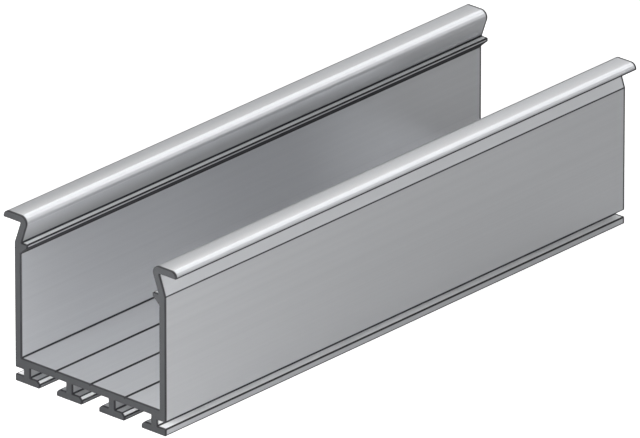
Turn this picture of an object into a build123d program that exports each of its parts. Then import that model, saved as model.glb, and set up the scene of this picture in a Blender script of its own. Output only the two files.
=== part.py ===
from build123d import *
import math
import os

# An extruded aluminium channel profile, sawn to length. One piece: a deep U whose two
# walls end in a neck that leans inwards and a lip that turns outwards, with a snap barb
# on each inner face, and four inverted T rails under the floor that leave undercut
# slots between them.
# Millimetres. X is the width, Y the length, Z up from the underside of the rails.

length = 182.4            # sawn length

# The channel.
wall_thickness = 2.0      # the walls and the necks above them
floor_thickness = 2.0
channel_depth = 41.0      # from the floor's upper face to the top of the lips

# The neck and the lip at the top of each wall.
neck_height = 8.2         # from the bend in the wall to the top of the lip
neck_lean = 19.4          # degrees from upright, towards the middle of the channel
lip_reach = 3.9           # how far the lip stands out past the wall's outer face
lip_thickness = 2.0
lip_tip_flat = 0.1        # left upright on the lip's tip, between its two rounded edges
bend_radius = 2.0         # where the lip turns down into the neck

# The snap barb on the inner face of each wall.
barb_reach = 2.33         # from the wall's inner face to the barb's tip
barb_rise = 0.3           # from the bend in the wall up to the barb's upper face
barb_tip_height = 0.95
barb_ramp_height = 2.1    # of the sloping underside

# The T rails under the floor.
rail_count = 4
rail_pitch = 15.0
rail_stem_thickness = 2.0
rail_foot_width = 8.8
rail_foot_thickness = 2.0
rail_foot_bevel = 0.9     # on the foot's upper edges
slot_height = 2.85        # clear height between a foot and the floor
wall_overhang = 4.0       # from the middle of the outermost stem to the wall's outer face
heel_drop = 0.9           # how far the wall's lower end hangs below the floor's underside

# V lines scribed along the floor's upper face, which divide it into equal strips.
scribe_count = 3
scribe_width = 0.6
scribe_depth = 0.3

corner_radius = 0.2       # every other edge and inner corner of the die

# Levels and places that follow from the sizes above.
floor_underside = rail_foot_thickness + slot_height
floor_top = floor_underside + floor_thickness
lip_top = floor_top + channel_depth
lip_underside = lip_top - lip_thickness
bend_level = lip_top - neck_height
outermost_stem = rail_pitch * (rail_count - 1) / 2
wall_outer = outermost_stem + wall_overhang
wall_inner = wall_outer - wall_thickness
wall_bottom = floor_underside - heel_drop
barb_top = bend_level + barb_rise
barb_tip_bottom = barb_top - barb_tip_height
barb_root = barb_tip_bottom - barb_ramp_height
barb_tip_x = wall_inner - barb_reach
nose_radius = lip_thickness - corner_radius - lip_tip_flat
scribe_pitch = 2 * wall_inner / (scribe_count + 1)

lean = math.radians(neck_lean)


def neck_outer_x(level):
    """Outer face of the leaning neck at a height above the bend."""
    return wall_outer - (level - bend_level) * math.tan(lean)


def neck_inner_x(level):
    """Inner face of the neck, one wall thickness away, measured square to it."""
    return neck_outer_x(level) - wall_thickness / math.cos(lean)


# One rail's cross-section, centred on its stem.
with BuildSketch() as rail_section:
    Rectangle(rail_foot_width, rail_foot_thickness, align=(Align.CENTER, Align.MIN))
    chamfer(rail_section.vertices().group_by(Axis.Y)[-1], rail_foot_bevel)
    Rectangle(rail_stem_thickness, floor_underside, align=(Align.CENTER, Align.MIN))

# All the rails. The outermost feet end square and flush with the walls' outer faces.
with BuildSketch() as rails_section:
    with GridLocations(rail_pitch, 0, rail_count, 1):
        add(rail_section.sketch)
    with Locations((outermost_stem, 0)):
        Rectangle(wall_overhang, rail_foot_thickness, align=(Align.MIN, Align.MIN))
    with Locations((-outermost_stem, 0)):
        Rectangle(wall_overhang, rail_foot_thickness, align=(Align.MAX, Align.MIN))
    Rectangle(
        2 * wall_outer, floor_underside, align=(Align.CENTER, Align.MIN), mode=Mode.INTERSECT
    )

# The right-hand wall with its neck, lip and barb, as one closed outline.
with BuildSketch() as wall_section:
    with BuildLine():
        Polyline(
            (wall_outer, wall_bottom),
            (wall_outer, bend_level),
            (neck_outer_x(lip_underside), lip_underside),
            (wall_outer + lip_reach, lip_underside),
            (wall_outer + lip_reach, lip_top),
            (neck_inner_x(lip_top), lip_top),
            (neck_inner_x(barb_top), barb_top),
            (barb_tip_x, barb_top),
            (barb_tip_x, barb_tip_bottom),
            (wall_inner, barb_root),
            (wall_inner, floor_top),
            (outermost_stem, floor_top),
            (outermost_stem, wall_bottom),
            close=True,
        )
    make_face()

# The V that a scribed line cuts, with its mouth level with the sketch's middle.
with BuildSketch() as scribe_section:
    with BuildLine():
        Polyline((-scribe_width / 2, 0), (0, -scribe_depth), (scribe_width / 2, 0), close=True)
    make_face()

# The whole cross-section, drawn looking along the length.
with BuildSketch() as section:
    with Locations((0, floor_underside)):
        Rectangle(2 * outermost_stem, floor_thickness, align=(Align.CENTER, Align.MIN))
    add(wall_section.sketch)
    mirror(wall_section.sketch, about=Plane.YZ)
    add(rails_section.sketch)
    top_corners = section.vertices().group_by(Axis.Y)[-1]
    fillet(section.vertices() - top_corners, corner_radius)
    noses = section.vertices().group_by(Axis.Y)[-1].sort_by(Axis.X)
    fillet([noses[0], noses[-1]], nose_radius)
    bends = section.vertices().group_by(Axis.Y)[-1].sort_by(Axis.X)
    fillet(bends[1:-1], bend_radius)
    with Locations((0, floor_top)):
        with GridLocations(scribe_pitch, 0, scribe_count, 1):
            add(scribe_section.sketch, mode=Mode.SUBTRACT)

with BuildPart() as channel_profile:
    with BuildSketch(Plane.XZ):
        add(section.sketch)
    extrude(amount=length / 2, both=True)

channel_profile.part.label = "channel_profile"

os.makedirs("parts", exist_ok=True)
export_step(channel_profile.part, "parts/channel_profile.step")
print("outer width", 2 * wall_outer, "mm, height", lip_top, "mm")
print("section", round(section.sketch.area, 2), "mm2, volume", round(channel_profile.part.volume), "mm3")
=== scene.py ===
# %% [markdown]
# # A length of extruded aluminium channel
#
# The object is one piece of stock: a deep U channel that was pressed through a die and sawn
# off square. Nothing on it is joined or moves, so the whole lesson is about two things: a
# clean section, and a metal that shows how it was made.
#
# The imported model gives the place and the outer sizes. It is loaded first, and the box that
# it fills is kept, because the finished piece may not be larger.

# %% Load the frame
import math

import bpy
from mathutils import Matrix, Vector


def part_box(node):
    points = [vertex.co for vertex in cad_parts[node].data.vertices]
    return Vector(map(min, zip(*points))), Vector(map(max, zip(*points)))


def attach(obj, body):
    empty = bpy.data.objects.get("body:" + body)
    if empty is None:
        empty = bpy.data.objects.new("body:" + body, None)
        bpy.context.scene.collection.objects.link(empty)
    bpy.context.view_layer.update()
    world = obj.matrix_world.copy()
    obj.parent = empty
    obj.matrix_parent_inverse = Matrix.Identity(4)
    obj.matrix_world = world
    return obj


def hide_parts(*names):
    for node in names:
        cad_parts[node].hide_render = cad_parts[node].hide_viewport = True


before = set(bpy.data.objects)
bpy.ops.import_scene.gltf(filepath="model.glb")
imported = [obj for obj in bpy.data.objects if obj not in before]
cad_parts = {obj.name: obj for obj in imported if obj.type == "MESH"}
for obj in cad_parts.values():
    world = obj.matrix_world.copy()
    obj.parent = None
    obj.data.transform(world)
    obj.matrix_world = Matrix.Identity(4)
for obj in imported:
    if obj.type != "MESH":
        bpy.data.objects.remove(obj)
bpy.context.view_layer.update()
low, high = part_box("channel_profile")
mm = 0.001
print("frame:", [round(side / mm, 2) for side in high - low], "mm")

# %% [markdown]
# ## The sizes of the section
#
# A die is drawn from a few sizes: one wall thickness, the pitch of the rails, the height of
# the slots. The overall length, width and height come from the frame, and the rest is
# written here once, so that the levels and edges below follow from it.

# %% Driving sizes
length = high.y - low.y
lip_top = high.z
lip_tip = high.x

wall = 2.0 * mm             # walls, necks, lips, floor, feet and stems alike
neck_height = 8.2 * mm      # from the bend in the wall to the top of the lip
neck_lean = math.radians(19.4)
lip_reach = 3.9 * mm        # past the wall's outer face
bend_radius = 2.0 * mm
nose_radius = 1.7 * mm

barb_reach = 2.33 * mm
barb_rise = 0.3 * mm        # from the bend up to the barb's upper face
barb_tip_height = 0.95 * mm
barb_ramp_height = 2.1 * mm

rail_pitch = 15.0 * mm
foot_width = 8.8 * mm
foot_bevel = 0.9 * mm
slot_height = 2.85 * mm
heel_drop = 0.9 * mm        # how far the wall's lower end hangs below the floor

scribe_width = 0.6 * mm
scribe_depth = 0.3 * mm
corner_radius = 0.2 * mm
deburr = 0.15 * mm          # the file's chamfer along the sawn edges

# %% Levels and edges that follow
floor_underside = wall + slot_height
floor_top = floor_underside + wall
lip_underside = lip_top - wall
bend_level = lip_top - neck_height
wall_outer = lip_tip - lip_reach
wall_inner = wall_outer - wall
wall_bottom = floor_underside - heel_drop
barb_top = bend_level + barb_rise
barb_tip_bottom = barb_top - barb_tip_height
barb_root = barb_tip_bottom - barb_ramp_height
barb_tip = wall_inner - barb_reach
inner_rail = rail_pitch / 2
outer_rail = rail_pitch * 3 / 2
scribe_place = wall_inner / 2


def neck_outer(level):
    return wall_outer - (level - bend_level) * math.tan(neck_lean)


def neck_inner(level):
    return neck_outer(level) - wall / math.cos(neck_lean)


print("walls", round(2 * wall_outer / mm, 2), "mm apart, floor at", round(floor_top / mm, 2), "mm")

# %% [markdown]
# ## Drawing the section with extrude and spin
#
# The section could be a curve, or a cylinder and boxes joined by booleans. Both leave
# uneven rounds or stray edges. Drawing it as a draughtsman does, with straight runs and
# arcs, gives exact tangents: a lone vertex is extruded along each straight run, and spun
# round the centre of each arc. Only the corners and their radii are listed. The rounds of
# the lip get short steps, because their highlight is what the eye follows.

# %% A pen that draws straight runs and arcs
fine_step = math.radians(9)
coarse_step = math.radians(23)
crease_margin = 0.22 * mm
end_margin = 0.7 * mm       # the same along the sawn edges
creases = []                # (x, z, reach) of every small round, for the painted shade and dark lines
pen_y = low.y + deburr      # the section is drawn where the near chamfer ends


def deselect():
    if bpy.context.object and bpy.context.object.mode != "OBJECT":
        bpy.ops.object.mode_set(mode="OBJECT")
    bpy.ops.object.select_all(action="DESELECT")


def start_pen(name, x, y, z):
    """A new object whose mesh is one selected vertex, with its origin left at the frame's."""
    deselect()
    bpy.ops.mesh.primitive_plane_add(size=mm, location=(0, 0, 0))
    bpy.context.object.name = name
    bpy.ops.object.mode_set(mode="EDIT")
    bpy.ops.mesh.select_mode(type="VERT")
    bpy.ops.mesh.merge(type="CENTER")
    bpy.ops.transform.translate(value=(x, y, z))
    return bpy.context.object


def is_crease(radius):
    return radius is not None and radius < wall / 2


def draw_straight(run, before, after):
    """One run, with a point a margin away from a crease at either end, unless it is too short."""
    step = run.normalized() * crease_margin
    if run.length < 3 * crease_margin:
        pieces = [run]
    else:
        pieces = [step] * before + [run - step * (before + after)] + [step] * after
    for piece in pieces:
        bpy.ops.mesh.extrude_vertices_move(TRANSFORM_OT_translate={"value": (piece.x, 0, piece.y)})


def draw_arc(start, heading, turn, radius):
    """One round, spun about the centre that touches the heading at its start."""
    centre = start + Vector((-heading.y, heading.x)) * math.copysign(radius, turn)
    step = coarse_step if is_crease(radius) else fine_step
    bpy.ops.mesh.spin(
        steps=math.ceil(abs(turn) / step),
        angle=turn,
        center=(centre.x, pen_y, centre.y),
        axis=(0, 1, 0),
    )


def draw(corners):
    """Extrudes the selected vertex from corner to corner, each (x, z, radius), and spins the rounds."""
    points = [Vector(corner[:2]) for corner in corners]
    radii = [corner[2] for corner in corners]
    here = points[0]
    for i in range(1, len(corners) - 1):
        heading = (points[i] - points[i - 1]).normalized()
        next_heading = (points[i + 1] - points[i]).normalized()
        turn = math.atan2(heading.cross(next_heading), heading.dot(next_heading))
        tangent = radii[i] * math.tan(abs(turn) / 2)
        arc_start = points[i] - heading * tangent
        draw_straight(arc_start - here, is_crease(radii[i - 1]), is_crease(radii[i]))
        if radii[i]:
            draw_arc(arc_start, heading, turn, radii[i])
        if is_crease(radii[i]):
            creases.append((*points[i], tangent))
        here = points[i] + next_heading * tangent
    draw_straight(points[-1] - here, is_crease(radii[-2]), is_crease(radii[-1]))
    creases.append((*points[-1], 0))


# %% The corners of the right-hand half, anticlockwise from the middle of the floor's underside
r = corner_radius
half_foot = foot_width / 2
half_stem = wall / 2


def rail_inboard_side(stem):
    return [
        (stem - half_stem, floor_underside, r),
        (stem - half_stem, wall, r),
        (stem - half_foot + foot_bevel, wall, r),
        (stem - half_foot, wall - foot_bevel, r),
        (stem - half_foot, 0, r),
    ]


inner_rail_outboard_side = [
    (inner_rail + half_foot, 0, r),
    (inner_rail + half_foot, wall - foot_bevel, r),
    (inner_rail + half_foot - foot_bevel, wall, r),
    (inner_rail + half_stem, wall, r),
    (inner_rail + half_stem, floor_underside, r),
]
outer_rail_outboard_side = [
    (wall_outer, 0, r),
    (wall_outer, wall, r),
    (outer_rail + half_stem, wall, r),
    (outer_rail + half_stem, wall_bottom, r),
    (wall_outer, wall_bottom, r),
]
wall_and_lip = [
    (wall_outer, bend_level, r),
    (neck_outer(lip_underside), lip_underside, r),
    (lip_tip, lip_underside, r),
    (lip_tip, lip_top, nose_radius),
    (neck_inner(lip_top), lip_top, bend_radius),
    (neck_inner(barb_top), barb_top, r),
    (barb_tip, barb_top, r),
    (barb_tip, barb_tip_bottom, r),
    (wall_inner, barb_root, r),
    (wall_inner, floor_top, r),
]
scribed_floor = [
    (scribe_place + scribe_width / 2, floor_top, 0),
    (scribe_place, floor_top - scribe_depth, 0),
    (scribe_place - scribe_width / 2, floor_top, 0),
    (scribe_width / 2, floor_top, 0),
]
half_section = [
    (0, floor_underside, None),
    *rail_inboard_side(inner_rail),
    *inner_rail_outboard_side,
    *rail_inboard_side(outer_rail),
    *outer_rail_outboard_side,
    *wall_and_lip,
    *scribed_floor,
    (0, floor_top - scribe_depth, 0),
]

# %% Draw one half and mirror it into a closed face
same_point = 0.001 * mm
profile = start_pen("profile", 0, pen_y, floor_underside)
draw(half_section)
bpy.ops.mesh.select_all(action="SELECT")
bpy.ops.mesh.symmetrize(direction="POSITIVE_X")
bpy.ops.mesh.select_all(action="SELECT")
bpy.ops.mesh.remove_doubles(threshold=same_point)
bpy.ops.mesh.edge_face_add()
bpy.ops.object.mode_set(mode="OBJECT")
print("section:", len(profile.data.vertices), "points,", len(profile.data.polygons), "face,",
      round(sum(f.area for f in profile.data.polygons) / mm**2, 2), "mm2")

# %% [markdown]
# ## Pressing and sawing
#
# Extruding the face along the length is exactly what the press does. It is done in three
# runs, so that a narrow band lies behind each end for the finish. The saw leaves an edge
# that a few strokes of a file take off: the two end faces are inset and raised by the same
# small amount, which gives that chamfer all round the section.

# %% Extrude, then chamfer the sawn edges
facing = 0.99               # a normal that is this much along an axis faces along it
bpy.ops.object.mode_set(mode="EDIT")
bpy.ops.mesh.select_all(action="SELECT")
for run in (end_margin, length - 2 * (end_margin + deburr), end_margin):
    bpy.ops.mesh.extrude_region_move(TRANSFORM_OT_translate={"value": (0, run, 0)})
bpy.ops.mesh.select_all(action="SELECT")
bpy.ops.mesh.normals_make_consistent(inside=False)


def edit_faces(test):
    """Opens the profile in edit mode with the faces selected whose centre and normal pass a test."""
    deselect()
    profile.select_set(True)
    bpy.context.view_layer.objects.active = profile
    bpy.ops.object.mode_set(mode="EDIT")
    bpy.ops.mesh.select_mode(type="FACE")
    bpy.ops.mesh.select_all(action="DESELECT")
    bpy.ops.object.mode_set(mode="OBJECT")
    for face in profile.data.polygons:
        face.select = test(face.center, face.normal)
    bpy.ops.object.mode_set(mode="EDIT")
    return sum(face.select for face in profile.data.polygons)


def is_sawn_end(centre, normal):
    return abs(normal.y) > facing


print(edit_faces(is_sawn_end), "sawn ends")
bpy.ops.mesh.inset(thickness=deburr, depth=deburr, use_individual=True)
bpy.ops.object.mode_set(mode="OBJECT")
print("profile:", len(profile.data.polygons), "faces,",
      [round(side / mm, 2) for side in profile.dimensions], "mm")

# %% [markdown]
# ## Painting shade into the creases
#
# Where two flats meet, the inner corners are painted dark as painted shade, and the outer edges
# get a fine painted dark line. The finish has to know where those lines are. An attribute on the
# points holds 1 on every small round, along the sawn edges and under the barbs, where the painted
# shade is full, and 0 a fraction of a millimetre away, so each line fades out by itself. The sides
# of the slots' mouths, and the stems inside the slots, get a weaker painted shade, so they hold
# less. So do the necks' inner faces, more towards the notch above the barb, and more at the near
# end.

# %% The crease attribute
# how much painted shade the slots' mouths, the stems and the necks get
dulled_mouth = 0.35
dulled_stem = 0.2
dulled_neck = 0.29          # at the near end, beside the notch
dulled_bend = 0.10          # at the near end, where the neck leaves the bend
touching = 0.01 * mm        # closer than this counts as the same place
bend_end = lip_top - bend_radius * (1 + math.sin(neck_lean))
# 1 where the painted shade and the dark lines are full, 0 where there is none
crease_marks = profile.data.attributes.new("crease", "FLOAT", "POINT")
skin_end = length / 2 - deburr - end_margin / 2
for point, mark in zip(profile.data.vertices, crease_marks.data):
    x, y, z = abs(point.co.x), abs(point.co.y), point.co.z
    near_round = any(math.hypot(x - cx, z - cz) < reach + crease_margin / 2 for cx, cz, reach in creases)
    under_barb = barb_tip < x < wall_inner and barb_root < z < barb_tip_bottom
    on_neck = abs(x - neck_inner(z)) < touching and z < bend_end + touching
    if near_round or under_barb or y > skin_end:
        mark.value = 1.0
    elif x < wall_inner and 0 < z < wall - foot_bevel:
        mark.value = dulled_mouth
    elif x < outer_rail and wall < z < floor_underside:
        mark.value = dulled_stem
    elif on_neck:
        towards_notch = (bend_end - z) / (bend_end - barb_top)
        towards_near_end = 0.5 - point.co.y / length
        mark.value = (dulled_bend + (dulled_neck - dulled_bend) * towards_notch) * towards_near_end
print(len(creases), "creases on", sum(mark.value > 0 for mark in crease_marks.data), "points")

# %% [markdown]
# ## A painted highlight on the lips
#
# The flat tops of the lips are painted pale towards their right-hand rounds: a painted
# highlight that leads into the real one on the rounds. A second attribute rises across each
# top from 0 to 1, where the flat ends in its right-hand round. Only the points at that end
# need a value, because the flat face blends it. The far end gets less of the painted highlight.

# %% The painted highlight's attribute
near_rub = 1.0
far_rub = 0.7
nose_start = lip_tip - nose_radius
bend_start = neck_inner(lip_top) + bend_radius * math.tan((math.pi / 2 + neck_lean) / 2)
rub_marks = profile.data.attributes.new("rub", "FLOAT", "POINT")
for point, mark in zip(profile.data.vertices, rub_marks.data):
    x, y, z = point.co
    flat_ends = abs(x - nose_start) < touching or abs(x + bend_start) < touching
    if flat_ends and z > lip_top - touching:
        mark.value = near_rub + (far_rub - near_rub) * (y - low.y) / length
print("highlighted:", sum(mark.value > 0 for mark in rub_marks.data), "points")

# %% [markdown]
# ## Smooth rounds between flat faces
#
# Smooth shading alone would bend the light on the broad flats, because each corner's
# normal is shared with a round. The Weighted Normal modifier lets the largest face decide,
# so the flats stay flat and only the rounds blend.

# %% Shade the rounds
sharp_angle = math.radians(30)
bpy.ops.object.shade_smooth_by_angle(angle=sharp_angle)
bpy.ops.object.modifier_add(type="WEIGHTED_NORMAL")
weighted = profile.modifiers[-1]
weighted.mode = "FACE_AREA"
weighted.weight = 100
weighted.keep_sharp = True
bpy.ops.object.modifier_apply(modifier=weighted.name)
print("smooth:", sum(face.use_smooth for face in profile.data.polygons), "faces")

# %% [markdown]
# ## Writing shader sums
#
# A finish is mostly arithmetic on patterns. This class holds one socket of a node tree, so
# that streaks * 0.3 + clouds adds the Math nodes by itself. One method adds any other node.


# %% A socket that can be added and multiplied
class Wire:
    def __init__(self, tree, socket):
        self.tree = tree
        self.socket = socket

    @classmethod
    def node(cls, tree, kind, settings=None, sockets=None, output=0):
        """Adds a node, sets it up, gives its sockets their values or links, and returns an output."""
        made = tree.nodes.new(kind)
        for name, value in (settings or {}).items():
            setattr(made, name, value)
        for name, value in (sockets or {}).items():
            if isinstance(value, Wire):
                tree.links.new(value.socket, made.inputs[name])
            else:
                made.inputs[name].default_value = value
        if len(made.outputs) > 0:
            return cls(tree, made.outputs[output])

    def maths(self, operation, first, second):
        return Wire.node(self.tree, "ShaderNodeMath", {"operation": operation}, {0: first, 1: second})

    def __add__(self, other):
        return self.maths("ADD", self, other)

    def __radd__(self, other):
        return self.maths("ADD", other, self)

    def __sub__(self, other):
        return self.maths("SUBTRACT", self, other)

    def __rsub__(self, other):
        return self.maths("SUBTRACT", other, self)

    def __mul__(self, other):
        return self.maths("MULTIPLY", self, other)

    def __rmul__(self, other):
        return self.maths("MULTIPLY", other, self)


# %% Patterns on the object's own coordinates
def place_in(tree, scale, shift=(0, 0, 0)):
    """The object's coordinates, stretched: a large scale makes a pattern fine along that axis."""
    here = Wire.node(tree, "ShaderNodeTexCoord", output="Object")
    return Wire.node(tree, "ShaderNodeMapping", sockets={"Vector": here, "Location": shift, "Scale": scale})


def noise(tree, scale, detail=2.0, roughness=0.5, shift=(0, 0, 0)):
    """Cloudy values from 0 to 1, with about scale cells to the metre along each axis."""
    place = place_in(tree, scale, shift)
    return Wire.node(
        tree, "ShaderNodeTexNoise",
        sockets={"Vector": place, "Scale": 1.0, "Detail": detail, "Roughness": roughness},
    )


def relief(tree, height, strength, depth):
    """A bump that is depth metres deep at full strength."""
    return Wire.node(
        tree, "ShaderNodeBump",
        sockets={"Height": height, "Strength": strength, "Distance": depth},
    )


def painted(tree, name):
    """The values of an attribute that was put on the mesh's points."""
    return Wire.node(tree, "ShaderNodeAttribute", {"attribute_name": name}, output="Fac")


def colour_between(tree, amount, first, second):
    """Mixes two colours, each three numbers or a wire."""
    first, second = (c if isinstance(c, Wire) else (*c, 1) for c in (first, second))
    return Wire.node(
        tree, "ShaderNodeMix", {"data_type": "RGBA"},
        {"Factor": amount, "A": first, "B": second}, output="Result",
    )


# %% A new material and its way out
def new_material(name):
    material = bpy.data.materials.new(name)
    material.use_nodes = True
    tree = material.node_tree
    tree.nodes.clear()
    return material, tree


def send_out(tree, surface):
    Wire.node(tree, "ShaderNodeOutputMaterial", sockets={"Surface": surface})


def metal(tree, colour, roughness, normal, metallic):
    """A metal surface, wired to the material's output."""
    surface = Wire.node(
        tree, "ShaderNodeBsdfPrincipled",
        sockets={"Base Color": colour, "Metallic": metallic, "Roughness": roughness, "Normal": normal},
    )
    send_out(tree, surface)


# %% [markdown]
# ## The extruded skin
#
# The die drags fine lines along the whole length, and the oxide over them is a soft satin
# grey. The lines are noise that is stretched along Y until it doesn't change, so it depends
# on the place in the section alone. Broad streaks shift the colour and the gloss a little,
# and a slow cloud keeps the long walls from looking printed.

# %% The skin's patterns, in cells to the metre across, along and up
die_line_scale = (1900, 2, 1900)
streak_scale = (700, 2, 700)
streak_shift = (3, 0, 7)    # so that streaks and die lines don't start alike
cloud_scale = (60, 25, 60)
die_line_depth = 0.02 * mm

die_line_share = 0.25       # what each pattern adds to the change of colour
streak_share = 0.50
cloud_share = 0.25
gloss_change = 0.05         # what streaks and clouds each add to the roughness

# %% The skin's colours
skin_light = (0.725, 0.736, 0.758)
skin_dark = (0.595, 0.606, 0.628)
# the painted highlight's colour on the lips' tops
burnish = (0.970, 0.975, 0.985)
# painted shade in the creases and dark lines along the edges
crease_grime = (0.030, 0.030, 0.034)
crease_gain = 2.0           # marks of a half or more are all painted shade
grime_dullness = 0.45


# %% The skin's material
def extruded_material(name, dark, light, gloss, metallic, line_strength):
    """Die lines and streaks along the length; gloss is the roughness of the smoothest streaks."""
    material, tree = new_material(name)
    die_lines = noise(tree, die_line_scale, detail=1.5)
    streaks = noise(tree, streak_scale, shift=streak_shift)
    clouds = noise(tree, cloud_scale, detail=3.0, roughness=0.55)
    tone = streaks * streak_share + die_lines * die_line_share + clouds * cloud_share
    # A painted highlight: the base colour turns pale across the lips' tops towards their right-hand rounds.
    rub = painted(tree, "rub")
    burnished = rub * rub   # squared, so that it rises late, near the round
    clean = colour_between(tree, burnished, colour_between(tree, tone, dark, light), burnish)
    # The crease marks paint shade into the creases and dark lines along the edges: darker, duller and less
    # metallic.
    crease = Wire.node(
        tree, "ShaderNodeMath", {"operation": "MULTIPLY", "use_clamp": True},
        {0: painted(tree, "crease"), 1: crease_gain},
    )
    metal(
        tree,
        colour=colour_between(tree, crease, clean, crease_grime),
        roughness=gloss + streaks * gloss_change + clouds * gloss_change + crease * grime_dullness,
        normal=relief(tree, die_lines, line_strength, die_line_depth),
        metallic=metallic * (1 - crease),
    )
    print(material.name, "has", len(tree.nodes), "nodes")
    return material


skin = extruded_material(
    "satin_extruded_aluminium", skin_dark, skin_light, gloss=0.26, metallic=0.60, line_strength=0.35,
)

# %% [markdown]
# ## The undercuts below the walls
#
# The two narrow undercuts are painted near white, as painted light, so that they show although
# they lie in shade. The same recipe serves, with pale colours and no metal left in it: light
# gets in by bouncing from side to side, and only a matt white lets it out again as an even
# light line.

# %% The undercuts' material
# near white, as painted light in the shaded undercuts
chalk_light = (0.960, 0.965, 0.975)
chalk_dark = (0.930, 0.935, 0.945)
chalk = extruded_material(
    "chalky_aluminium", chalk_dark, chalk_light, gloss=0.42, metallic=0.0, line_strength=0.20,
)

# %% [markdown]
# ## On top of the barbs and on the feet's bevels
#
# The upper faces of the barbs, and the small bevels at the mouths of the slots, are painted
# pale as painted light, so that each shows as a light line along the channel. It is hardly
# metallic, so that it scatters the light like paint.

# %% The barbs' and bevels' material
# pale, as painted light on the barbs' tops and the bevels
bloom_light = (0.880, 0.890, 0.900)
bloom_dark = (0.820, 0.830, 0.842)
bloom = extruded_material(
    "pickled_aluminium", bloom_dark, bloom_light, gloss=0.42, metallic=0.15, line_strength=0.35,
)

# %% [markdown]
# ## The sawn ends
#
# A circular saw leaves shallow arcs, all about the blade's centre, which lay well outside
# the section. The cut is duller than the skin and painted much darker, as painted shade on
# the end faces. The arcs are a function of the distance from that centre.

# %% The saw's marks and colours
saw_centre = Vector((115 * mm, 0, 150 * mm))
arc_scale = 4500.0          # arcs to the metre, outwards from the blade's centre
grain_scale = (2500, 2500, 2500)
arc_share = 0.7             # of the change of colour; the torn grain has the rest
arc_relief = 0.8            # of the relief, likewise
cut_strength = 0.5
cut_depth = 0.03 * mm
# very dark, as painted shade on the sawn ends
cut_light = (0.118, 0.121, 0.127)
cut_dark = (0.081, 0.084, 0.089)
cut_roughness = 0.50
grain_roughness = 0.12
cut_metallic = 0.7


# %% The sawn ends' material
def blade_arcs(tree):
    """Rings about the blade's centre, as noise along the distance from it."""
    from_blade = place_in(tree, (1, 0, 1), shift=-saw_centre)
    distance = Wire.node(
        tree, "ShaderNodeVectorMath", {"operation": "LENGTH"}, {0: from_blade}, output="Value",
    )
    along = Wire.node(tree, "ShaderNodeCombineXYZ", sockets={"X": distance})
    return Wire.node(
        tree, "ShaderNodeTexNoise",
        sockets={"Vector": along, "Scale": arc_scale, "Detail": 3.0, "Roughness": 0.65},
    )


def sawn_material():
    material, tree = new_material("sawn_aluminium")
    arcs = blade_arcs(tree)
    grain = noise(tree, grain_scale)
    height = arcs * arc_relief + grain * (1 - arc_relief)
    metal(
        tree,
        colour=colour_between(tree, arcs * arc_share + grain * (1 - arc_share), cut_dark, cut_light),
        roughness=cut_roughness + grain * grain_roughness,
        normal=relief(tree, height, cut_strength, cut_depth),
        metallic=cut_metallic,
    )
    print(material.name, "has", len(tree.nodes), "nodes")
    return material


# %% [markdown]
# ## Giving each face its finish
#
# One piece carries four finishes. Its faces could be listed by number, but such a list is
# wrong as soon as a size changes. A test on each face's place and direction finds the right
# ones whatever the sizes are, and what no test finds keeps the skin.

# %% Find the faces of each finish
upward = 0.9                # takes in the first facets of the barb's rounds
bevel_slope = math.sqrt(0.5)
slope_match = 0.01


def is_on_skin(centre):
    """Between the filed edges of the two ends."""
    return abs(centre.y) < length / 2 - deburr


def is_in_undercut(centre, normal):
    below_wall = outer_rail < abs(centre.x) < wall_outer - touching
    above_foot = wall - touching < centre.z < wall_bottom + touching
    return below_wall and above_foot and is_on_skin(centre)


def is_on_barb(centre, normal):
    level = normal.z > upward and abs(centre.z - barb_top) < touching
    return level and abs(centre.x) < wall_outer and is_on_skin(centre)


def is_on_bevel(centre, normal):
    slants = abs(normal.z - bevel_slope) < slope_match
    return slants and centre.z < wall and is_on_skin(centre)


def keeps_bloom(centre, normal):
    return is_on_barb(centre, normal) or is_on_bevel(centre, normal)


# %% Give each face its finish
finishes = [
    (skin, None),
    (chalk, is_in_undercut),
    (bloom, keeps_bloom),
    (sawn_material(), is_sawn_end),
]
profile.data.materials.clear()
for slot, (material, test) in enumerate(finishes):
    profile.data.materials.append(material)
    if test:
        count = edit_faces(test)
        profile.active_material_index = slot
        bpy.ops.object.material_slot_assign()
        bpy.ops.object.mode_set(mode="OBJECT")
        print(material.name, "on", count, "faces")

# %% The piece stands for its CAD node
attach(profile, "root")
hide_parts("channel_profile")
print(profile.name, "stands for channel_profile")

# %% [markdown]
# ## The floor
#
# The part stands on a plain white sheet. A sheet that is really white would throw so much
# light back up that the rails and the undercuts lose their depth. So it is a middle grey that
# keeps the soft shadow, and it glows white only for what the camera sees, and a little for
# what the metal mirrors.

# %% The floor
floor_size = 30.0
floor_gap = 0.05 * mm       # below the feet, so that no two faces lie in one plane
sheet_grey = (0.5, 0.5, 0.5, 1)
white = (1, 1, 1, 1)
seen_glow = 0.9
mirrored_glow = 0.10

deselect()
bpy.ops.mesh.primitive_plane_add(size=floor_size, location=(0, 0, -floor_gap))
floor = bpy.context.object
floor.name = "floor"
floor_material, tree = new_material("white_sheet")
camera_ray = Wire.node(tree, "ShaderNodeLightPath", output="Is Camera Ray")
glossy_ray = Wire.node(tree, "ShaderNodeLightPath", output="Is Glossy Ray")
transmission_ray = Wire.node(tree, "ShaderNodeLightPath", output="Is Transmission Ray")
glow_strength = camera_ray * seen_glow + (glossy_ray + transmission_ray) * mirrored_glow
sheet = Wire.node(tree, "ShaderNodeBsdfDiffuse", sockets={"Color": sheet_grey})
glow = Wire.node(tree, "ShaderNodeEmission", sockets={"Color": white, "Strength": glow_strength})
send_out(tree, Wire.node(tree, "ShaderNodeAddShader", sockets={0: sheet, 1: glow}))
floor.data.materials.append(floor_material)
print("floor:", floor_size, "m wide,", round(floor_gap / mm, 2), "mm below the feet")

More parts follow.
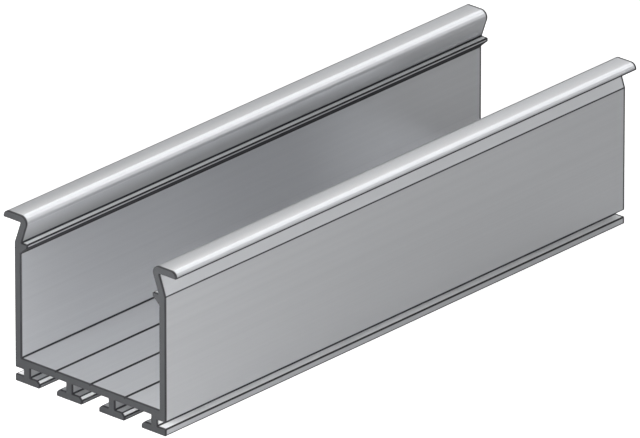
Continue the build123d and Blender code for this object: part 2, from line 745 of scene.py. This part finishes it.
# %% [markdown]
# ## Lamps for a metal
#
# Satin metal shows its lamps as soft reflections, so what each face mirrors matters as much
# as how much light falls on it. Large softboxes behind, at the left and in front give the
# broad faces something even to mirror, from whichever side the part is seen. Smaller ones at
# the right pick out the neck, the rounds of the lips and the undercuts. Two very small ones
# stand close to the near end, so that the channel is lighter there. Seen from behind, those
# two would be mirrored as a glare in the channel's floor, so they are hidden from glossy rays.

# %% The room's light
room_strength = 0.05
world = bpy.data.worlds.new("studio")
bpy.context.scene.world = world
world.use_nodes = True
world.node_tree.nodes.clear()
room = Wire.node(
    world.node_tree, "ShaderNodeBackground", sockets={"Color": white, "Strength": room_strength},
)
Wire.node(world.node_tree, "ShaderNodeOutputWorld", sockets={"Surface": room})
print("room light:", room_strength)


# %% A softbox, placed by the direction it shines from
def softbox(name, aim, distance, azimuth, elevation, width, height, watts, glare=True):
    """Azimuth 0 is behind the part, 90 at its right and 180 in front; the softbox faces its aim."""
    a = math.radians(azimuth)
    e = math.radians(elevation)
    towards = Vector((math.sin(a) * math.cos(e), math.cos(a) * math.cos(e), math.sin(e)))
    place = aim + towards * distance
    deselect()
    bpy.ops.object.light_add(type="AREA", location=place)
    lamp = bpy.context.object
    lamp.name = name
    lamp.data.shape = "RECTANGLE"
    lamp.data.size = width
    lamp.data.size_y = height
    lamp.data.energy = watts
    lamp.rotation_mode = "QUATERNION"
    lamp.rotation_quaternion = (aim - place).to_track_quat("-Z", "Y")
    lamp.visible_camera = False
    lamp.visible_glossy = glare


# %% Lamps round the room
middle = (low + high) / 2
room_radius = 3
room_lamps = [
    # name, azimuth, elevation, width, height, watts
    ("back_left_light", 339, 44.5, 2.1, 2.1, 26),
    ("back_right_light", 20, 32, 2.1, 2.1, 14),
    ("left_light", 270, 50, 2.1, 2.1, 6),
    ("side_light", 280, 10, 1.6, 1.2, 35),
    ("low_right_light", 47, 11, 0.8, 0.6, 3.6),
    ("high_right_light", 31, 38, 0.8, 0.6, 4.2),
    ("right_light", 102, 5, 1.6, 0.5, 14),
    ("front_fill", 168, 35, 3.0, 2.0, 10),
]
for name, *direction_size_and_watts in room_lamps:
    softbox(name, middle, room_radius, *direction_size_and_watts)
print("lamps round the room:", len(room_lamps))

# %% Lamps close to the near end
near_end = Vector((0, -90 * mm, 30 * mm))
# name, aim, distance, azimuth, elevation, width, height, watts
softbox("front_light", near_end, 0.35, 155, 10, 0.2, 0.2, 1.40, glare=False)
softbox("low_front_light", near_end, 0.2, 180, 15, 0.1, 0.1, 0.42, glare=False)

# %% [markdown]
# ## The camera
#
# The picture is a parallel projection, which never makes what is near larger. An orthographic
# camera would do, but a very long lens, several metres away, comes within a pixel or two of
# it and behaves like a real one. Its distance follows from the scale of the picture.

# %% The camera
view_azimuth = math.radians(41.8)
view_elevation = math.radians(24.09)
lens = 1000.0               # millimetres, on a sensor 36 wide
sensor = 36.0
picture_width = 640
scale = 3789.0              # pixels to a metre at the part's middle
aim_right = -0.756 * mm
aim_up = -0.163 * mm
nearest_seen = 0.1
farthest_seen = 100.0

back = Vector((
    math.sin(view_azimuth) * math.cos(view_elevation),
    -math.cos(view_azimuth) * math.cos(view_elevation),
    math.sin(view_elevation),
))
right = Vector((math.cos(view_azimuth), math.sin(view_azimuth), 0))
up = back.cross(right)
distance = picture_width * lens / sensor / scale
bpy.ops.object.camera_add(location=middle + back * distance + right * aim_right + up * aim_up)
camera = bpy.context.object
camera.rotation_mode = "QUATERNION"
camera.rotation_quaternion = (-back).to_track_quat("-Z", "Y")
camera.data.lens = lens
camera.data.sensor_width = sensor
camera.data.clip_start = nearest_seen
camera.data.clip_end = farthest_seen
bpy.context.scene.camera = camera
bpy.context.scene.view_settings.view_transform = "Standard"
print("camera", round(distance, 2), "m away")

# %% Finish
bpy.context.view_layer.update()
